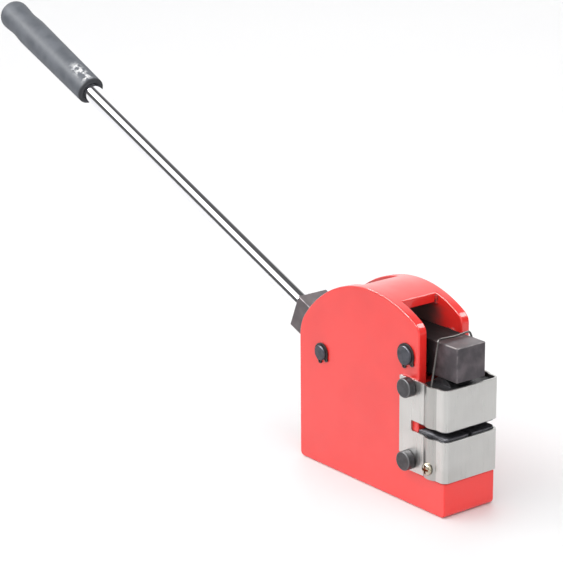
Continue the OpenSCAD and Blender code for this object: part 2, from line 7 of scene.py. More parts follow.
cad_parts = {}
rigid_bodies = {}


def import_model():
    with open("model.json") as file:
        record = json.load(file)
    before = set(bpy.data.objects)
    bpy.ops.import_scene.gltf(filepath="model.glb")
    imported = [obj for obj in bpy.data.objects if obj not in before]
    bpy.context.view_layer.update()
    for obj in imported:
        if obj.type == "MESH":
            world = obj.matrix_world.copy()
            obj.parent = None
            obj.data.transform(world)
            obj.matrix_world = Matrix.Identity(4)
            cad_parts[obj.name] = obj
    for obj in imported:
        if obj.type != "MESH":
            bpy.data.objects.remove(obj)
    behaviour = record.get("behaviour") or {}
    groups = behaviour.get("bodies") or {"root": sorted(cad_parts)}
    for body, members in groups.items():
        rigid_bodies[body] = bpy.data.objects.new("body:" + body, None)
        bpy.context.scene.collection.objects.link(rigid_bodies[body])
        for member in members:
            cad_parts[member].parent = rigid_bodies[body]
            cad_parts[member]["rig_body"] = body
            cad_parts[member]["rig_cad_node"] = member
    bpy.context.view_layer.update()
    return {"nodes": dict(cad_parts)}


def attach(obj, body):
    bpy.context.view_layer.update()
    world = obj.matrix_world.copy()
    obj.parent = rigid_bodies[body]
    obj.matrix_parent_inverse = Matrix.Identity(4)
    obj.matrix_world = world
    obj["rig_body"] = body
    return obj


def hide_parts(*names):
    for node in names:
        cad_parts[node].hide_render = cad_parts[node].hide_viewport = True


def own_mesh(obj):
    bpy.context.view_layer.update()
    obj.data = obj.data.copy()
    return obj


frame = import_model()

# Sizes, in metres, as in the solids.
MM = 0.001

# Handle: it runs back and up from the rear pin. The grip is a hair shorter than its solid, so that its
# finer round end stays within the solid's reach.
REAR_PIN = Vector((-57.3, 0.0, 93.0)) * MM
HANDLE_RISE = math.radians(22.2)
BLOCK_BACK = 52.4 * MM
BLOCK_NOSE = 26.0 * MM
BLOCK_HALF = 14.0 * MM
ROD_RADIUS = 8.0 * MM
ROD_FREE = 326.0 * MM
ROD_CHAMFER = 1.0 * MM
GRIP_LENGTH = 141.92 * MM
GRIP_CAP = 18.0 * MM
GRIP_BORE = 8.05 * MM
BORE_ROOM = 0.1 * MM
BORE_FLARE = 0.5 * MM
BORE_FLARE_DEPTH = 0.6 * MM
GRIP_MOUTH = 12.5 * MM
GRIP_LARGEST = 13.5 * MM
GRIP_LIP = 2.0 * MM
GRIP_END = 10.0 * MM
WAIST_DEPTH = 0.9 * MM
WAIST_LENGTH = 32.0 * MM
WAIST_FROM_END = 26.0 * MM

# Pressing arm: a square bar through the front pin.
FRONT_PIN = Vector((41.5, 0.0, 117.0)) * MM
ARM_MIDDLE = Vector((27.5, 0.0, 117.0)) * MM
ARM_HALF = Vector((57.5, 14.0, 13.5)) * MM

# Thumb screws.
KNOB_X = 47.5 * MM
KNOB_SEAT = 27.0 * MM
KNOB_LOW = 36.8 * MM
KNOB_HIGH = 94.3 * MM
KNOB_RADIUS = 7.5 * MM
KNOB_HEIGHT = 6.5 * MM
KNOB_CHAMFER = 0.6 * MM
KNOB_SHANK = 3.0 * MM
KNOB_DEPTH = 9.2 * MM
KNOB_TIP = 0.7 * MM

# Cover: its pressed ribs, and the pan head screws on them. The dome has the height and radius of each step.
RIB_X = 70.5 * MM
RIB_HALF = 6.5 * MM
PAN_Z = 36.5 * MM
PAN_SEAT = 28.9 * MM
PAN_RADIUS = 4.8 * MM
PAN_HEIGHT = 2.8 * MM
PAN_SHANK = 2.45 * MM
PAN_DEPTH = 12.0 * MM
PAN_TIP = 0.5 * MM
PAN_DOME = (
    (0.9 * MM, PAN_RADIUS),
    (1.7 * MM, 4.45 * MM),
    (2.3 * MM, 3.7 * MM),
    (2.65 * MM, 2.6 * MM),
    (PAN_HEIGHT, 1.2 * MM),
)
CROSS_SLOT = Vector((6.6, 1.9, 2.6)) * MM

# Body: the slot between its plates, the bridge's ends, and the bores, whose rims stay crisp. Each bore has
# its place along and above, and a radius that holds its rim.
SLOT_HALF = 17.0 * MM
BRIDGE_ENDS = (-17.0 * MM, 27.0 * MM)
BORES = (
    (REAR_PIN.x, REAR_PIN.z, 8.0 * MM),
    (FRONT_PIN.x, FRONT_PIN.z, 9.0 * MM),
    (KNOB_X, KNOB_LOW, 4.0 * MM),
    (KNOB_X, KNOB_HIGH, 4.0 * MM),
)

# Weld beads: upright in the bridge's corners. The ripples change the radius from step to step.
BEAD_FOOT = 144.8 * MM
BEAD_LENGTH = 7.4 * MM
BEAD_TIP = 0.6 * MM
BEAD_RADIUS = 1.75 * MM
BEAD_STEP = 0.62 * MM
BEAD_STEPS = 11
BEAD_RIPPLES = (-0.15 * MM, 0.3 * MM, 0.1 * MM)

# Lift wire: half of its route, from the hook in the holder to the middle of the crossbar.
WIRE_RADIUS = 0.8 * MM
WIRE_BEND = 2.56 * MM
WIRE_HALF = [
    Vector((70.5, 19.8, 85.0)) * MM,
    Vector((70.5, 25.95, 85.0)) * MM,
    Vector((70.5, 25.95, 99.7)) * MM,
    Vector((66.0, 15.4, 133.4)) * MM,
    Vector((66.0, 0.0, 132.4)) * MM,
]

# Jaw springs: a little slimmer than their solids, so that they clear the jaws' pockets at full pull.
SPRING_X = 70.3 * MM
SPRING_HIGH = 71.8 * MM
SPRING_LOW = 57.2 * MM
SPRING_RADIUS = 2.3 * MM
SPRING_WIRE = 0.4 * MM
SPRING_TURNS = 6
SPRING_LENGTH = 14.5 * MM

# Roundings of the edges, by thick paint or by tumbling.
BODY_ROUND = 1.2 * MM
ARM_ROUND = 0.9 * MM
KNOB_ROUND = 0.9 * MM
BLOCK_ROUND = 0.6 * MM
HOLDER_ROUND = 0.5 * MM
COVER_ROUND = 0.35 * MM
PIN_ROUND = 0.3 * MM
JAW_ROUND = 0.25 * MM
RING_ROUND = 0.2 * MM

# Fineness: how close points are merged, how flat faces are joined, and how many sides round pieces have.
MERGE_DISTANCE = 1e-6
FLAT_ANGLE = math.radians(0.5)
HANDLE_SIDES = 96
KNOB_SIDES = 72
PAN_SIDES = 48
BEAD_SIDES = 20
SPRING_SIDES = 14
SPRING_STEPS = 28

# Studio light: a dim room with soft white cards. Each card has its azimuth from +x and its elevation,
# the angles from its middle where its soft edge starts and ends, all in degrees, and its brightness.
ROOM_DIM = 0.11
CARDS = (
    (-95, 44, 12, 22, 2.3),
    (-125, 44, 12, 22, 2.3),
    (-155, 44, 12, 22, 2.3),
    (150, 30, 28, 42, 1.2),
    (-20, 35, 24, 48, 1.57),
)
# Lamps: the first two draw bright lines along rounded edges and show in glossy faces only. The last one
# softens the shadows and leaves no reflection. Each has its azimuth from +x and its elevation in degrees,
# its length and height in metres, its power in watts, and whether it glints.
LAMP_AWAY = 2.0
LAMPS = {
    "strip_lamp": (-115, 44, 2.4, 0.2, 85.0, True),
    "brow_lamp": (62, 46, 0.8, 0.8, 20.0, True),
    "overhead_fill": (0, 85, 2.5, 2.5, 15.0, False),
}

# Floor and camera.
FLOOR_SIDE = 24.0
FLOOR_DROP = 0.2 * MM
CAMERA_PLACE = Vector((1254.56, -1088.08, 671.74)) * MM
CAMERA_AZIMUTH = math.radians(52.03)
CAMERA_ELEVATION = math.radians(17.16)
CAMERA_ROLL = math.radians(-0.48)
CAMERA_SENSOR = 36
CAMERA_LENS = 147.5


# Modelling by hand: what is selected, turned, rounded and put in place.

def only(piece):
    """The piece is the one that is selected and active."""
    bpy.ops.object.select_all(action="DESELECT")
    piece.select_set(True)
    bpy.context.view_layer.objects.active = piece
    return piece


def fresh(name):
    """The primitive just added gets its name and is the only one selected."""
    piece = bpy.context.view_layer.objects.active
    piece.name = name
    piece.data.name = name
    return only(piece)


def clear():
    """Nothing is selected, before a primitive is added."""
    bpy.ops.object.select_all(action="DESELECT")


def put(piece, place):
    """The piece goes to its place, and the place goes into its mesh."""
    only(piece)
    piece.matrix_world = place
    bpy.ops.object.transform_apply(location=True, rotation=True, scale=True)
    return piece


def quarter(axis, sign=1):
    """A quarter turn about an axis."""
    return Matrix.Rotation(math.radians(90 * sign), 4, axis)


def close_up(piece):
    """Doubles are merged and all faces turned outwards."""
    only(piece)
    bpy.ops.object.mode_set(mode="EDIT")
    bpy.ops.mesh.select_all(action="SELECT")
    bpy.ops.mesh.remove_doubles(threshold=MERGE_DISTANCE)
    bpy.ops.mesh.normals_make_consistent(inside=False)
    bpy.ops.object.mode_set(mode="OBJECT")
    return piece


def round_edges(piece, width, steps=3, angle=35.0, bores=(), full=False, slide=True):
    """Edges sharper than the angle are rounded, to the full width or as far as all of them can be."""
    only(piece)
    bpy.ops.object.mode_set(mode="EDIT")
    bpy.ops.mesh.select_mode(type="EDGE")
    bpy.ops.mesh.select_all(action="DESELECT")
    bpy.ops.mesh.edges_select_sharp(sharpness=math.radians(angle))
    bpy.ops.object.mode_set(mode="OBJECT")
    mesh = piece.data
    share = mesh.attributes.new("bevel_weight_edge", "FLOAT", "EDGE")
    for edge in mesh.edges:
        ends = [mesh.vertices[i].co for i in edge.vertices]
        rim = any(all(math.hypot(p.x - x, p.z - z) < reach for p in ends) for x, z, reach in bores)
        share.data[edge.index].value = 1.0 if edge.select and not rim else 0.0
    bevel = piece.modifiers.new("round", "BEVEL")
    bevel.limit_method = "WEIGHT"
    bevel.width = width
    bevel.segments = steps
    bevel.use_clamp_overlap = not full
    bevel.loop_slide = slide
    bpy.ops.object.modifier_apply(modifier=bevel.name)
    return piece


def smooth(piece, angle=32.0):
    """Curved faces shade smoothly, corners stay crisp and large flat faces stay flat."""
    only(piece)
    bpy.ops.object.shade_smooth_by_angle(angle=math.radians(angle))
    flat = piece.modifiers.new("flat", "WEIGHTED_NORMAL")
    flat.keep_sharp = True
    flat.weight = 80
    bpy.ops.object.modifier_apply(modifier=flat.name)
    return piece


def turned(name, stations, sides):
    """A round piece on the z axis: a disc drawn out through (height, radius) stations."""
    clear()
    height, radius = stations[0]
    bpy.ops.mesh.primitive_circle_add(vertices=sides, radius=radius, fill_type="NGON", location=(0, 0, 0))
    piece = put(fresh(name), Matrix.Translation((0, 0, height)))
    bpy.ops.object.mode_set(mode="EDIT")
    bpy.ops.mesh.select_all(action="SELECT")
    for next_height, next_radius in stations[1:]:
        bpy.ops.mesh.extrude_region_move(
            TRANSFORM_OT_translate={"value": (0, 0, next_height - height)}
        )
        share = next_radius / radius
        bpy.ops.transform.resize(value=(share, share, 1), center_override=(0, 0, next_height))
        height, radius = next_height, next_radius
    bpy.ops.object.mode_set(mode="OBJECT")
    return close_up(piece)


def copy_of(piece, name):
    """Another piece with its own mesh."""
    only(piece)
    bpy.ops.object.duplicate()
    return fresh(name)


def cast(node, name, width, steps=3, angle=35.0, **choice):
    """A copy of a CAD solid: triangles joined, flat faces cleaned, sharp edges rounded as by tumbling."""
    piece = copy_of(frame["nodes"][node], name)
    piece.parent = None
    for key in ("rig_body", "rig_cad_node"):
        del piece[key]
    piece.data.materials.clear()
    bpy.ops.mesh.customdata_custom_splitnormals_clear()
    bpy.ops.object.mode_set(mode="EDIT")
    bpy.ops.mesh.select_all(action="SELECT")
    bpy.ops.mesh.remove_doubles(threshold=MERGE_DISTANCE)
    bpy.ops.mesh.dissolve_limited(angle_limit=FLAT_ANGLE)
    bpy.ops.object.mode_set(mode="OBJECT")
    return smooth(round_edges(piece, width, steps, angle, **choice))


def settle(piece, body, slot, material, *nodes):
    """The finished piece rides on its body, takes its finish and stands for its CAD nodes, if any."""
    piece.data.materials.clear()
    piece.data.materials.append(material)
    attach(piece, body)
    if nodes:
        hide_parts(*nodes)
    return piece


# Finishes: small helpers that lay out nodes.

def finish(name):
    """A new material with its node tree, its shader and the Object coordinates."""
    material = bpy.data.materials.new(name)
    material.use_nodes = True
    tree = material.node_tree
    place = tree.nodes.new("ShaderNodeTexCoord").outputs["Object"]
    return material, tree, tree.nodes["Principled BSDF"], place


def feed(tree, target, value):
    """An input takes a number, a colour or another node's output."""
    if isinstance(value, bpy.types.NodeSocket):
        tree.links.new(value, target)
    else:
        target.default_value = value


def add(tree, kind, inputs, **settings):
    """A new node with its settings and inputs."""
    made = tree.nodes.new("ShaderNode" + kind)
    for key, value in settings.items():
        setattr(made, key, value)
    for key, value in inputs.items():
        feed(tree, made.inputs[key], value)
    return made


def dress(tree, shader, **inputs):
    """The shader's inputs, with words joined by underscores."""
    for key, value in inputs.items():
        feed(tree, shader.inputs[key.replace("_", " ")], value)


def mapped(tree, place, move=(0, 0, 0), turn=(0, 0, 0), scale=(1, 1, 1), kind="POINT"):
    """Coordinates moved, turned and scaled."""
    inputs = {"Vector": place, "Location": move, "Rotation": turn, "Scale": scale}
    return add(tree, "Mapping", inputs, vector_type=kind).outputs["Vector"]


def noise(tree, place, scale, detail=2.0, stretch=(1, 1, 1)):
    """Cloudy values from 0 to 1."""
    where = mapped(tree, place, scale=stretch)
    return add(tree, "TexNoise", {"Vector": where, "Scale": scale, "Detail": detail}).outputs["Fac"]


def spread(tree, value, low, high, to_low=0.0, to_high=1.0):
    """A stretch of values mapped smoothly to another."""
    inputs = {"Value": value, "From Min": low, "From Max": high, "To Min": to_low, "To Max": to_high}
    return add(tree, "MapRange", inputs, interpolation_type="SMOOTHSTEP").outputs["Result"]


def sums(tree, kind, first, second=0.0):
    """One step of arithmetic."""
    step = add(tree, "Math", {}, operation=kind)
    feed(tree, step.inputs[0], first)
    feed(tree, step.inputs[1], second)
    return step.outputs[0]


def times(tree, first, *others):
    """The product of all the values."""
    for value in others:
        first = sums(tree, "MULTIPLY", first, value)
    return first


def away(tree, value, middle=0.0):
    """How far the value is from the middle, either way."""
    return sums(tree, "ABSOLUTE", sums(tree, "SUBTRACT", value, middle))


def from_axis(tree, one, other):
    """The distance from an axis, from the two coordinates across it."""
    return sums(tree, "SQRT", sums(tree, "ADD", times(tree, one, one), times(tree, other, other)))


def tint(tree, share, first, second):
    """A mix of two colours."""
    mix = add(tree, "Mix", {}, data_type="RGBA")
    feed(tree, mix.inputs[0], share)
    feed(tree, mix.inputs[6], (*first, 1) if isinstance(first, tuple) else first)
    feed(tree, mix.inputs[7], (*second, 1) if isinstance(second, tuple) else second)
    return mix.outputs[2]


def relief(tree, height, strength, depth):
    """Fine relief in the surface."""
    inputs = {"Height": height, "Strength": strength, "Distance": depth}
    return add(tree, "Bump", inputs).outputs["Normal"]


def parts_of(tree, vector):
    """The three coordinates of a vector."""
    split = add(tree, "SeparateXYZ", {"Vector": vector})
    return split.outputs["X"], split.outputs["Y"], split.outputs["Z"]


def edge_mask(tree, local, half, band):
    """1 along the edges of a box of that half size round the local origin, 0 elsewhere."""
    near = []
    for value, reach in zip(parts_of(tree, local), half):
        near.append(spread(tree, away(tree, value), reach - band, reach))
    pairs = [times(tree, near[i], near[(i + 1) % 3]) for i in range(3)]
    return sums(tree, "MAXIMUM", sums(tree, "MAXIMUM", pairs[0], pairs[1]), pairs[2])


def drawn_grain(tree, place, stretch):
    """A fine grain that runs one way, and a share that mixes it with soft clouds."""
    grain = noise(tree, place, 1.0, 3, stretch=stretch)
    cloud = spread(tree, noise(tree, place, 40, 2), 0.3, 0.7)
    return grain, sums(tree, "ADD", times(tree, grain, 0.6), times(tree, cloud, 0.4))


# Finishes of this tool.

def red_enamel():
    """Thick glossy red enamel with a faint orange peel, and painted shade: dark brown deep between the
    plates.
    """
    material, tree, shader, place = finish("red_enamel")
    along, across, up = parts_of(tree, place)
    # Painted shade: the inner faces between the plates, below the bridge and away from both openings, are
    # tinted dark brown and lose their coat, where shade falls.
    inside = spread(tree, away(tree, across), SLOT_HALF + 0.6 * MM, SLOT_HALF + 0.2 * MM)
    low = spread(tree, up, 147 * MM, 141 * MM)
    wander = times(tree, noise(tree, place, 120, 3), 12 * MM)
    from_middle = away(tree, along, -10 * MM)
    deep = spread(tree, sums(tree, "ADD", from_middle, wander), 60 * MM, 33 * MM)
    painted_shade = times(tree, inside, low, deep)
    cloud = spread(tree, noise(tree, place, 18), 0.3, 0.7)
    paint = tint(tree, cloud, (0.77, 0.018, 0.014), (0.84, 0.024, 0.019))
    peel = noise(tree, place, 420, 1)
    dress(
        tree, shader,
        Base_Color=tint(tree, painted_shade, paint, (0.12, 0.062, 0.058)),
        Roughness=spread(tree, noise(tree, place, 55), 0.3, 0.7, 0.36, 0.44),
        Normal=relief(tree, peel, 0.03, 0.3 * MM),
        Specular_IOR_Level=0.3,
        Coat_Weight=spread(tree, painted_shade, 0.0, 1.0, 0.9, 0.0),
        Coat_Roughness=0.06,
    )
    return material


def scorched_enamel():
    """Enamel that ran thin and dark over a rough weld bead."""
    material, tree, shader, place = finish("scorched_enamel")
    patch = spread(tree, noise(tree, place, 420, 3), 0.40, 0.60)
    dress(
        tree, shader,
        Base_Color=tint(tree, patch, (0.050, 0.010, 0.009), (0.55, 0.018, 0.014)),
        Roughness=spread(tree, patch, 0.0, 1.0, 0.55, 0.34),
        Normal=relief(tree, patch, 0.3, 0.3 * MM),
    )
    return material


def dark_bar(name, dark, pale, sheen_and_wear, middle, turn, half, shaded_span):
    """Dark bar steel with painted light: a paler top face, pale upper near edges (rubbed wear and painted
    highlight), and painted shade, near black, between the plates.
    """
    material, tree, shader, place = finish(name)
    local = mapped(tree, place, move=middle, turn=turn, kind="TEXTURE")
    along, across, up = parts_of(tree, local)
    mill = noise(tree, local, 60, 4, stretch=(0.4, 2, 2))
    stain = noise(tree, local, 70, 4)
    body = tint(tree, spread(tree, stain, 0.35, 0.68), dark, pale)
    # Painted light: the top face is tinted paler, as light falls on it, broken up by the mill marks.
    top = spread(tree, up, half.z - 1.2 * MM, half.z - 0.4 * MM)
    body = tint(tree, times(tree, top, spread(tree, mill, 0.3, 0.7, 0.08, 0.22)), body, sheen_and_wear)
    # Painted shade: near black between the plates, where shade falls, less metallic and with little
    # specular there.
    shade_between = spread(tree, sums(tree, "ADD", along, times(tree, stain, 10 * MM)), *shaded_span)
    body = tint(tree, times(tree, shade_between, 0.94), body, (0.007, 0.006, 0.006))
    # The upper near edges are tinted pale: partly rubbed wear, partly a painted highlight on the lit side;
    # none in the painted shade.
    rub = spread(tree, noise(tree, local, 130, 3), 0.36, 0.6)
    upper = spread(tree, up, 4 * MM, 12 * MM)
    near = spread(tree, across, 2 * MM, -10 * MM)
    lit_side = spread(tree, times(tree, upper, near), 0.0, 1.0, 0.28, 1.0)
    unshaded = sums(tree, "SUBTRACT", 1.0, shade_between)
    edge = times(tree, edge_mask(tree, local, half, 1.1 * MM), rub, lit_side, unshaded)
    dress(
        tree, shader,
        Base_Color=tint(tree, edge, body, sheen_and_wear),
        Metallic=spread(tree, shade_between, 0.0, 1.0, 0.55, 0.1),
        Specular_IOR_Level=spread(tree, shade_between, 0.0, 1.0, 0.5, 0.04),
        Roughness=spread(tree, mill, 0.3, 0.7, 0.42, 0.60),
        Normal=relief(tree, mill, 0.15, 0.3 * MM),
    )
    return material


def black_oxide(name, dark, pale, rough):
    """Blackened steel, unevenly toned."""
    material, tree, shader, place = finish(name)
    tone = spread(tree, noise(tree, place, 260, 4), 0.32, 0.66)
    grain = noise(tree, place, 900, 2)
    dress(
        tree, shader,
        Base_Color=tint(tree, tone, dark, pale),
        Metallic=0.6,
        Roughness=spread(tree, grain, 0.25, 0.75, rough - 0.06, rough + 0.08),
        Normal=relief(tree, grain, 0.1, 0.2 * MM),
    )
    return material


def knob_black():
    """Blackened steel, its rim painted lighter as a highlight."""
    material, tree, shader, place = finish("knob_black")
    along, across, up = parts_of(tree, place)
    from_middle = away(tree, up, (KNOB_LOW + KNOB_HIGH) / 2)
    over = sums(tree, "SUBTRACT", from_middle, (KNOB_HIGH - KNOB_LOW) / 2)
    beside = sums(tree, "SUBTRACT", along, KNOB_X)
    radius = from_axis(tree, over, beside)
    # Painted highlight: the outer rim of the face is tinted paler all round, standing in for its glint.
    highlight_ring = spread(tree, radius, KNOB_RADIUS - 1.1 * MM, KNOB_RADIUS - 0.7 * MM)
    front = KNOB_SEAT + KNOB_HEIGHT
    face = spread(tree, away(tree, across), front - 0.9 * MM, front - 0.5 * MM)
    tone = spread(tree, noise(tree, place, 260, 4), 0.32, 0.66)
    body = tint(tree, tone, (0.050, 0.049, 0.052), (0.072, 0.070, 0.075))
    grain = noise(tree, place, 900, 2)
    dress(
        tree, shader,
        Base_Color=tint(tree, times(tree, highlight_ring, face), body, (0.12, 0.12, 0.125)),
        Metallic=0.7,
        Roughness=spread(tree, grain, 0.25, 0.75, 0.36, 0.50),
        Normal=relief(tree, grain, 0.1, 0.2 * MM),
    )
    return material


def drawn_wire():
    """Dull steel, drawn as wire."""
    material, tree, shader, place = finish("wire_steel")
    grain, share = drawn_grain(tree, place, (500, 500, 80))
    dress(
        tree, shader,
        Base_Color=tint(tree, share, (0.085, 0.080, 0.078), (0.155, 0.148, 0.145)),
        Metallic=1.0,
        Roughness=spread(tree, grain, 0.25, 0.75, 0.28, 0.42),
        Normal=relief(tree, grain, 0.08, 0.1 * MM),
    )
    return material


def stainless_sheet():
    """Brushed stainless sheet, with painted shade: darker on the pressed ribs, and a dark line at the foot
    of each rib.
    """
    material, tree, shader, place = finish("stainless_sheet")
    along = parts_of(tree, place)[0]
    grain, share = drawn_grain(tree, place, (900, 900, 30))
    sheet = tint(tree, share, (0.45, 0.445, 0.43), (0.58, 0.575, 0.56))
    from_rib = away(tree, along, RIB_X)
    # Painted shade: the pressed rib is darker.
    rib_shade = spread(tree, from_rib, RIB_HALF + 0.4 * MM, RIB_HALF - 1.2 * MM)
    sheet = tint(tree, times(tree, rib_shade, 0.55), sheet, (0.27, 0.262, 0.25))
    # Painted shade: a dark line at the foot of each rib, stronger at the rear foot.
    from_foot = away(tree, from_rib, RIB_HALF)
    behind = spread(tree, along, RIB_X, RIB_X - 4 * MM, 0.4, 1.0)
    crease_shade = times(tree, spread(tree, from_foot, 0.7 * MM, 0.1 * MM), behind)
    sheet = tint(tree, times(tree, crease_shade, 0.75), sheet, (0.05, 0.045, 0.04))
    dress(
        tree, shader,
        Base_Color=sheet,
        Metallic=1.0,
        Roughness=spread(tree, grain, 0.25, 0.75, 0.26, 0.40),
        Normal=relief(tree, grain, 0.10, 0.1 * MM),
    )
    return material


def chrome_plate():
    """Bright chrome with faint handling marks."""
    material, tree, shader, place = finish("chrome_plate")
    smudge = spread(tree, noise(tree, place, 30, 3), 0.4, 0.75)
    dress(
        tree, shader,
        Base_Color=tint(tree, smudge, (0.90, 0.90, 0.93), (0.86, 0.86, 0.88)),
        Metallic=1.0,
        Roughness=spread(tree, smudge, 0.0, 1.0, 0.04, 0.09),
    )
    return material


def handle_place():
    """The handle's own frame: x runs forwards along it, from the rear pin."""
    return Matrix.Translation(REAR_PIN) @ Matrix.Rotation(HANDLE_RISE, 4, "Y")


def grip_rubber():
    """Grey rubber, softly mottled, with painted shade round its mouth, and scuffed white beside it."""
    material, tree, shader, place = finish("grip_rubber")
    mouth = handle_place() @ Vector((-BLOCK_BACK - ROD_FREE, 0, 0))
    local = mapped(tree, place, move=mouth, turn=(0, HANDLE_RISE, 0), kind="TEXTURE")
    along, across, up = parts_of(tree, local)
    mottle = spread(tree, noise(tree, local, 90, 3), 0.3, 0.7)
    body = tint(tree, mottle, (0.093, 0.102, 0.118), (0.131, 0.142, 0.162))
    # Painted shade: darker round the mouth, where the rod enters.
    rim = spread(tree, along, -3.2 * MM, -0.8 * MM)
    body = tint(tree, rim, body, (0.030, 0.032, 0.037))
    grain = noise(tree, local, 1400, 2)
    scuff = times(
        tree,
        spread(tree, noise(tree, local, 260, 2), 0.42, 0.56),
        spread(tree, grain, 0.40, 0.56, 0.25, 1.0),
        spread(tree, along, -32 * MM, -22 * MM),
        spread(tree, along, -1 * MM, -6 * MM),
        spread(tree, across, -10.5 * MM, -4.5 * MM),
        spread(tree, across, 3 * MM, -3.5 * MM),
        spread(tree, up, 0.0, 4 * MM),
    )
    dress(
        tree, shader,
        Base_Color=tint(tree, scuff, body, (0.95, 0.95, 0.95)),
        Roughness=spread(tree, mottle, 0.0, 1.0, 0.52, 0.60),
        Specular_IOR_Level=0.28,
        Normal=relief(tree, grain, 0.12, 0.2 * MM),
    )
    return material


def zinc_screw():
    """Yellow zinc plate, brown in the cross recess."""
    material, tree, shader, place = finish("zinc_screw")
    across, out, up = parts_of(tree, mapped(tree, place, move=(RIB_X, 0, PAN_Z), kind="TEXTURE"))
    inner = spread(tree, from_axis(tree, across, up), 3.6 * MM, 3.0 * MM)
    sunk = spread(tree, away(tree, out), PAN_SEAT + 2.3 * MM, PAN_SEAT + 1.8 * MM)
    tone = spread(tree, noise(tree, place, 300, 3), 0.3, 0.7)
    plate = tint(tree, tone, (0.40, 0.36, 0.27), (0.52, 0.48, 0.40))
    dress(
        tree, shader,
        Base_Color=tint(tree, times(tree, inner, sunk), plate, (0.20, 0.055, 0.02)),
        Metallic=0.9,
        Roughness=spread(tree, tone, 0.0, 1.0, 0.24, 0.36),
    )
    return material


ENAMEL = red_enamel()
WELD_ENAMEL = scorched_enamel()
# Each bar takes its dark and pale tones, then the pale colour of its painted top light and edge highlights.
ARM_STEEL = dark_bar(
    "arm_steel", (0.060, 0.053, 0.060), (0.118, 0.100, 0.110), (0.50, 0.47, 0.46),
    middle=ARM_MIDDLE,
    turn=(0, 0, 0),
    half=ARM_HALF,
    shaded_span=(52 * MM, 34 * MM),
)
BLOCK_STEEL = dark_bar(
    "block_steel", (0.094, 0.083, 0.088), (0.146, 0.127, 0.131), (0.33, 0.30, 0.31),
    middle=handle_place() @ Vector(((BLOCK_NOSE - BLOCK_BACK) / 2, 0, 0)),
    turn=(0, HANDLE_RISE, 0),
    half=Vector(((BLOCK_NOSE + BLOCK_BACK) / 2, BLOCK_HALF, BLOCK_HALF)),
    shaded_span=(14 * MM, 30 * MM),
)
PIN_STEEL = black_oxide("pin_steel", (0.042, 0.045, 0.056), (0.072, 0.075, 0.090), 0.38)
RING_STEEL = black_oxide("ring_steel", (0.022, 0.021, 0.022), (0.055, 0.053, 0.053), 0.36)
KNOB_FINISH = knob_black()
JAW_STEEL = black_oxide("jaw_steel", (0.06, 0.06, 0.068), (0.11, 0.11, 0.122), 0.45)
HOLDER_STEEL = black_oxide("holder_steel", (0.030, 0.030, 0.033), (0.060, 0.060, 0.064), 0.45)
STAINLESS = stainless_sheet()
WIRE_STEEL = drawn_wire()
CHROME = chrome_plate()
RUBBER = grip_rubber()
ZINC = zinc_screw()


# Pieces.

def red_body():
    """The painted body: side plates, bridge and foot, with its edges rounded by the thick paint."""
    piece = cast("body", "painted_body", BODY_ROUND, 4, 20, bores=BORES, full=True, slide=False)
    settle(piece, "frame", "red_paint", ENAMEL, "body")


def weld_beads():
    """Rippled weld beads under the paint, in the corners between the bridge's ends and the side plates."""
    stations = [(0.0, BEAD_TIP)]
    for i in range(1, BEAD_STEPS + 1):
        stations.append((BEAD_STEP * i, BEAD_RADIUS + BEAD_RIPPLES[i % 3]))
    stations.append((BEAD_LENGTH, BEAD_TIP))
    first = smooth(turned("weld_bead", stations, BEAD_SIDES), 60)
    beads = []
    for end in BRIDGE_ENDS:
        for side in (-SLOT_HALF, SLOT_HALF):
            bead = copy_of(first, "bead")
            put(bead, Matrix.Translation((end, side, BEAD_FOOT)))
            beads.append(bead)
    bpy.data.objects.remove(first)
    only(beads[0])
    for bead in beads[1:]:
        bead.select_set(True)
    bpy.ops.object.join()
    settle(fresh("bridge_weld_beads"), "frame", "red_paint", WELD_ENAMEL)


def pins_and_rings():
    """Pivot pins with chamfered ends, the rings that hold them and the washers on them."""
    for place in ("rear", "front"):
        pin = cast(f"{place}_pivot_pin", f"{place}_pin_shaft", PIN_ROUND)
        settle(pin, "frame", "grey_steel", PIN_STEEL, f"{place}_pivot_pin")
        rings = cast(f"{place}_pin_rings", f"{place}_pin_clips", RING_ROUND, 2)
        settle(rings, "frame", "black_steel", RING_STEEL, f"{place}_pin_rings")
        spacers = cast(f"{place}_spacers", f"{place}_pin_washers", PIN_ROUND, 2)
        settle(spacers, "frame", "plain_steel", WIRE_STEEL, f"{place}_spacers")


def grip_stations():
    """The sleeve from the floor of its bore, over the lip, along the taper and waist, to its round end."""
    lip_steps, waist_steps, end_steps = 8, 24, 16
    stations = [
        (GRIP_LENGTH - GRIP_CAP + BORE_ROOM, GRIP_BORE),
        (BORE_FLARE_DEPTH, GRIP_BORE),
        (0, GRIP_BORE + BORE_FLARE),
    ]
    for i in range(lip_steps + 1):
        turn = math.radians(90 * i / lip_steps)
        stations.append((GRIP_LIP * (1 - math.cos(turn)), GRIP_MOUTH - GRIP_LIP * (1 - math.sin(turn))))
    waist_start = GRIP_LENGTH - WAIST_FROM_END - WAIST_LENGTH / 2
    for i in range(waist_steps + 1):
        share = i / waist_steps
        dip = WAIST_DEPTH * (1 - math.cos(2 * math.pi * share)) / 2
        stations.append((waist_start + WAIST_LENGTH * share, GRIP_LARGEST - dip))
    for i in range(end_steps):
        turn = math.radians(90 * i / end_steps)
        along = GRIP_LENGTH - GRIP_END * (1 - math.sin(turn))
        stations.append((along, GRIP_LARGEST - GRIP_END * (1 - math.cos(turn))))
    stations.append((GRIP_LENGTH, GRIP_LARGEST - GRIP_END))
    return stations


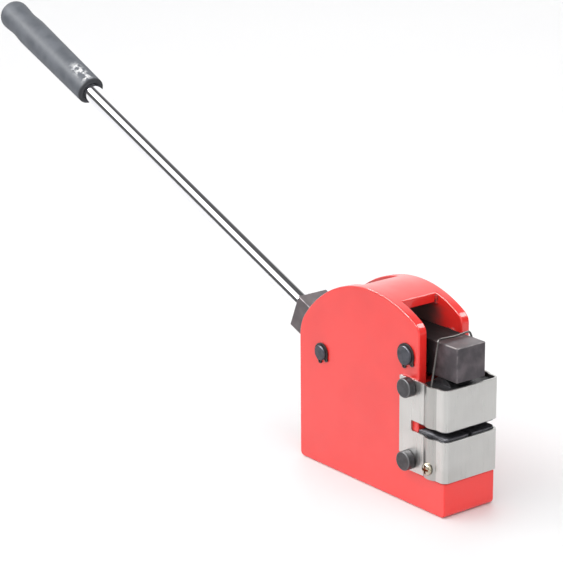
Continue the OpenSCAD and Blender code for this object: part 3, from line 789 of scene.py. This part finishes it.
def handle():
    """Square block, chromed rod and rubber grip."""
    block = cast("handle_block", "handle_bar_block", BLOCK_ROUND, full=True)
    settle(block, "handle", "grey_steel", BLOCK_STEEL, "handle_block")

    rod_length = ROD_FREE + GRIP_LENGTH - GRIP_CAP
    rod_stations = [
        (0, ROD_RADIUS),
        (rod_length - ROD_CHAMFER, ROD_RADIUS),
        (rod_length, ROD_RADIUS - ROD_CHAMFER),
    ]
    rod_start = Matrix.Translation((-BLOCK_BACK, 0, 0)) @ quarter("Y", -1)
    rod = turned("handle_chrome_rod", rod_stations, HANDLE_SIDES)
    smooth(put(rod, handle_place() @ rod_start))
    settle(rod, "handle", "chrome", CHROME, "handle_rod")

    grip_start = Matrix.Translation((-BLOCK_BACK - ROD_FREE, 0, 0)) @ quarter("Y", -1)
    grip = turned("handle_rubber_grip", grip_stations(), HANDLE_SIDES)
    smooth(put(grip, handle_place() @ grip_start), 50)
    settle(grip, "handle", "grip_rubber", RUBBER, "handle_grip")


def pressing_arm():
    """The square bar that presses the upper holder."""
    piece = cast("pressing_arm", "pressing_bar", ARM_ROUND, full=True)
    settle(piece, "arm", "black_steel", ARM_STEEL, "pressing_arm")


def jaw_set():
    """Sheet cover, the two holders and the four jaws."""
    cover = cast("jaw_cover", "sheet_cover", COVER_ROUND, 2, full=True)
    settle(cover, "frame", "stainless", STAINLESS, "jaw_cover")
    for level, body in (("upper", "upper_holder"), ("lower", "frame")):
        holder = cast(f"{level}_jaw_holder", f"{level}_holder_block", HOLDER_ROUND, 2)
        settle(holder, body, "black_steel", HOLDER_STEEL, f"{level}_jaw_holder")
        for side in ("right", "left"):
            jaw = cast(f"{level}_jaw_{side}", f"{level}_{side}_toothed_jaw", JAW_ROUND, 2)
            settle(jaw, f"{level}_{side}_jaw", "jaw_black", JAW_STEEL, f"{level}_jaw_{side}")


def thumb_screws():
    """Four thumb screws: one is turned, the others are its copies."""
    stations = [
        (-KNOB_DEPTH, KNOB_SHANK - KNOB_TIP),
        (-KNOB_DEPTH + KNOB_TIP, KNOB_SHANK),
        (0, KNOB_SHANK),
        (0, KNOB_RADIUS - KNOB_CHAMFER),
        (KNOB_CHAMFER, KNOB_RADIUS),
        (KNOB_HEIGHT, KNOB_RADIUS),
    ]
    first = turned("thumb_screw_turned", stations, KNOB_SIDES)
    smooth(round_edges(first, KNOB_ROUND, 4, 50))
    for side, out in (("right", -1), ("left", 1)):
        for level, height in (("top", KNOB_HIGH), ("bottom", KNOB_LOW)):
            screw = copy_of(first, f"{side}_{level}_knob")
            put(screw, Matrix.Translation((KNOB_X, out * KNOB_SEAT, height)) @ quarter("X", -out))
            settle(screw, f"{side}_{level}_screw", "knob_black", KNOB_FINISH, f"thumb_screw_{side}_{level}")
    bpy.data.objects.remove(first)


def cover_screws():
    """Pan head screws with a cross recess, one each side."""
    stations = [
        (-PAN_DEPTH, PAN_SHANK - PAN_TIP),
        (-PAN_DEPTH + PAN_TIP, PAN_SHANK),
        (0, PAN_SHANK),
        (0, PAN_RADIUS),
        *PAN_DOME,
    ]
    near = turned("pan_screw_turned", stations, PAN_SIDES)
    for turn in (0, 90):
        clear()
        bpy.ops.mesh.primitive_cube_add(
            size=1,
            location=(0, 0, PAN_HEIGHT),
            rotation=(0, 0, math.radians(turn)),
        )
        slot = fresh("cross_slot")
        slot.scale = CROSS_SLOT
        bpy.ops.object.transform_apply(location=True, rotation=True, scale=True)
        only(near)
        cut = near.modifiers.new("recess", "BOOLEAN")
        cut.operation = "DIFFERENCE"
        cut.object = slot
        bpy.ops.object.modifier_apply(modifier=cut.name)
        bpy.data.objects.remove(slot)
    smooth(near)
    far = copy_of(near, "far_pan_screw")
    put(far, Matrix.Translation((RIB_X, PAN_SEAT, PAN_Z)) @ quarter("X", -1))
    put(near, Matrix.Translation((RIB_X, -PAN_SEAT, PAN_Z)) @ quarter("X"))
    far.select_set(True)
    bpy.ops.object.join()
    settle(fresh("cross_recess_screws"), "frame", "zinc", ZINC, "cover_screws")


def bent_route(corners, bend, steps=8):
    """A route through the corners, each one rounded."""
    route = [corners[0]]
    for before, corner, after in zip(corners, corners[1:], corners[2:]):
        start = corner + (before - corner).normalized() * bend
        end = corner + (after - corner).normalized() * bend
        for i in range(steps + 1):
            t = i / steps
            route.append(start * (1 - t) ** 2 + corner * (2 * t * (1 - t)) + end * t ** 2)
    route.append(corners[-1])
    return route


def lift_wire():
    """The bent wire that hangs the upper holder from the arm."""
    near_half = [Vector((p.x, -p.y, p.z)) for p in reversed(WIRE_HALF[:-1])]
    route = bent_route(WIRE_HALF + near_half, WIRE_BEND)
    clear()
    bpy.ops.curve.primitive_bezier_curve_add(location=(0, 0, 0))
    wire = fresh("lift_wire_bail")
    curve = wire.data
    curve.splines.clear()
    spline = curve.splines.new("POLY")
    spline.points.add(len(route) - 1)
    for point, place in zip(spline.points, route):
        point.co = (*place, 1)
    curve.dimensions = "3D"
    curve.bevel_depth = WIRE_RADIUS
    curve.bevel_resolution = 6
    curve.use_fill_caps = True
    bpy.ops.object.convert(target="MESH")
    close_up(wire)
    smooth(wire, 50)
    settle(wire, "upper_holder", "plain_steel", WIRE_STEEL, "lift_wire")


def jaw_springs():
    """Coil springs that push the jaws of one level apart: a ring of wire drawn along a screw."""
    for level, body, height in (("upper", "upper_holder", SPRING_HIGH), ("lower", "frame", SPRING_LOW)):
        clear()
        bpy.ops.mesh.primitive_circle_add(vertices=SPRING_SIDES, radius=SPRING_WIRE, fill_type="NOTHING")
        spring = fresh(f"{level}_coil_spring")
        put(spring, Matrix.Translation((SPRING_RADIUS, 0, 0)) @ quarter("X"))
        wind = spring.modifiers.new("wind", "SCREW")
        wind.axis = "Z"
        wind.steps = SPRING_STEPS
        wind.render_steps = SPRING_STEPS
        wind.iterations = SPRING_TURNS
        wind.screw_offset = SPRING_LENGTH / SPRING_TURNS
        bpy.ops.object.modifier_apply(modifier=wind.name)
        bpy.ops.object.mode_set(mode="EDIT")
        bpy.ops.mesh.select_mode(type="EDGE")
        bpy.ops.mesh.select_all(action="DESELECT")
        bpy.ops.mesh.select_non_manifold()
        bpy.ops.mesh.fill_holes(sides=0)
        bpy.ops.object.mode_set(mode="OBJECT")
        close_up(spring)
        middle = Vector((SPRING_X, 0, height))
        start = Matrix.Translation(middle - Vector((0, SPRING_LENGTH / 2, 0)))
        put(spring, start @ quarter("X", -1))
        smooth(spring, 50)
        settle(spring, body, "plain_steel", WIRE_STEEL, f"{level}_jaw_spring")
        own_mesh(spring)


red_body()
weld_beads()
pins_and_rings()
handle()
pressing_arm()
jaw_set()
thumb_screws()
cover_screws()
lift_wire()
jaw_springs()


# Stage, light and camera.

def pale_floor():
    """A plain pale floor under the foot."""
    material, tree, shader, place = finish("pale_floor")
    cloud = noise(tree, place, 3, 2)
    dress(
        tree, shader,
        Base_Color=tint(tree, cloud, (0.79, 0.79, 0.80), (0.81, 0.81, 0.81)),
        Roughness=0.55,
    )
    clear()
    bpy.ops.mesh.primitive_plane_add(size=FLOOR_SIDE, location=(0, 0, -FLOOR_DROP))
    floor = fresh("floor")
    floor.data.materials.append(material)


def way(azimuth, elevation):
    """The direction at an azimuth from +x and an elevation, in degrees."""
    around, above = math.radians(azimuth), math.radians(elevation)
    level = math.cos(above)
    return Vector((level * math.cos(around), level * math.sin(around), math.sin(above)))


def surround():
    """A dim room round the tool with soft white cards overhead, behind it and beside the camera."""
    world = bpy.data.worlds.new("studio")
    bpy.context.scene.world = world
    world.use_nodes = True
    tree = world.node_tree
    direction = tree.nodes.new("ShaderNodeTexCoord").outputs["Generated"]
    glow = ROOM_DIM
    for azimuth, elevation, core, edge, level in CARDS:
        toward = add(tree, "VectorMath", {}, operation="DOT_PRODUCT")
        feed(tree, toward.inputs[0], direction)
        feed(tree, toward.inputs[1], way(azimuth, elevation))
        near = (math.cos(math.radians(edge)), math.cos(math.radians(core)))
        card = spread(tree, toward.outputs["Value"], *near, 0.0, level)
        glow = sums(tree, "ADD", card, glow)
    feed(tree, tree.nodes["Background"].inputs["Color"], glow)


def studio_lamps():
    """Two lamps for the glints and one for the shadows."""
    for name, (azimuth, elevation, length, height, power, glints) in LAMPS.items():
        toward = way(azimuth, elevation)
        clear()
        bpy.ops.object.light_add(type="AREA", location=toward * LAMP_AWAY)
        lamp = bpy.context.view_layer.objects.active
        lamp.name = name
        lamp.rotation_euler = toward.to_track_quat("Z", "Y").to_euler()
        lamp.data.shape = "RECTANGLE"
        lamp.data.size = length
        lamp.data.size_y = height
        lamp.data.energy = power
        lamp.visible_diffuse = not glints
        lamp.visible_glossy = glints


def photo_camera():
    """The camera at the photo's angle."""
    back = Vector((
        math.sin(CAMERA_AZIMUTH) * math.cos(CAMERA_ELEVATION),
        -math.cos(CAMERA_AZIMUTH) * math.cos(CAMERA_ELEVATION),
        math.sin(CAMERA_ELEVATION),
    ))
    level = Vector((0, 0, 1)).cross(back).normalized()
    upright = back.cross(level)
    right = math.cos(CAMERA_ROLL) * level + math.sin(CAMERA_ROLL) * upright
    up = -math.sin(CAMERA_ROLL) * level + math.cos(CAMERA_ROLL) * upright
    clear()
    bpy.ops.object.camera_add(location=CAMERA_PLACE)
    camera = bpy.context.view_layer.objects.active
    camera.name = "photo_camera"
    camera.matrix_world = Matrix((
        (right.x, up.x, back.x, CAMERA_PLACE.x),
        (right.y, up.y, back.y, CAMERA_PLACE.y),
        (right.z, up.z, back.z, CAMERA_PLACE.z),
        (0, 0, 0, 1),
    ))
    camera.data.sensor_width = CAMERA_SENSOR
    camera.data.lens = CAMERA_LENS
    bpy.context.scene.camera = camera


pale_floor()
surround()
studio_lamps()
photo_camera()
bpy.context.scene.view_settings.view_transform = "Standard"
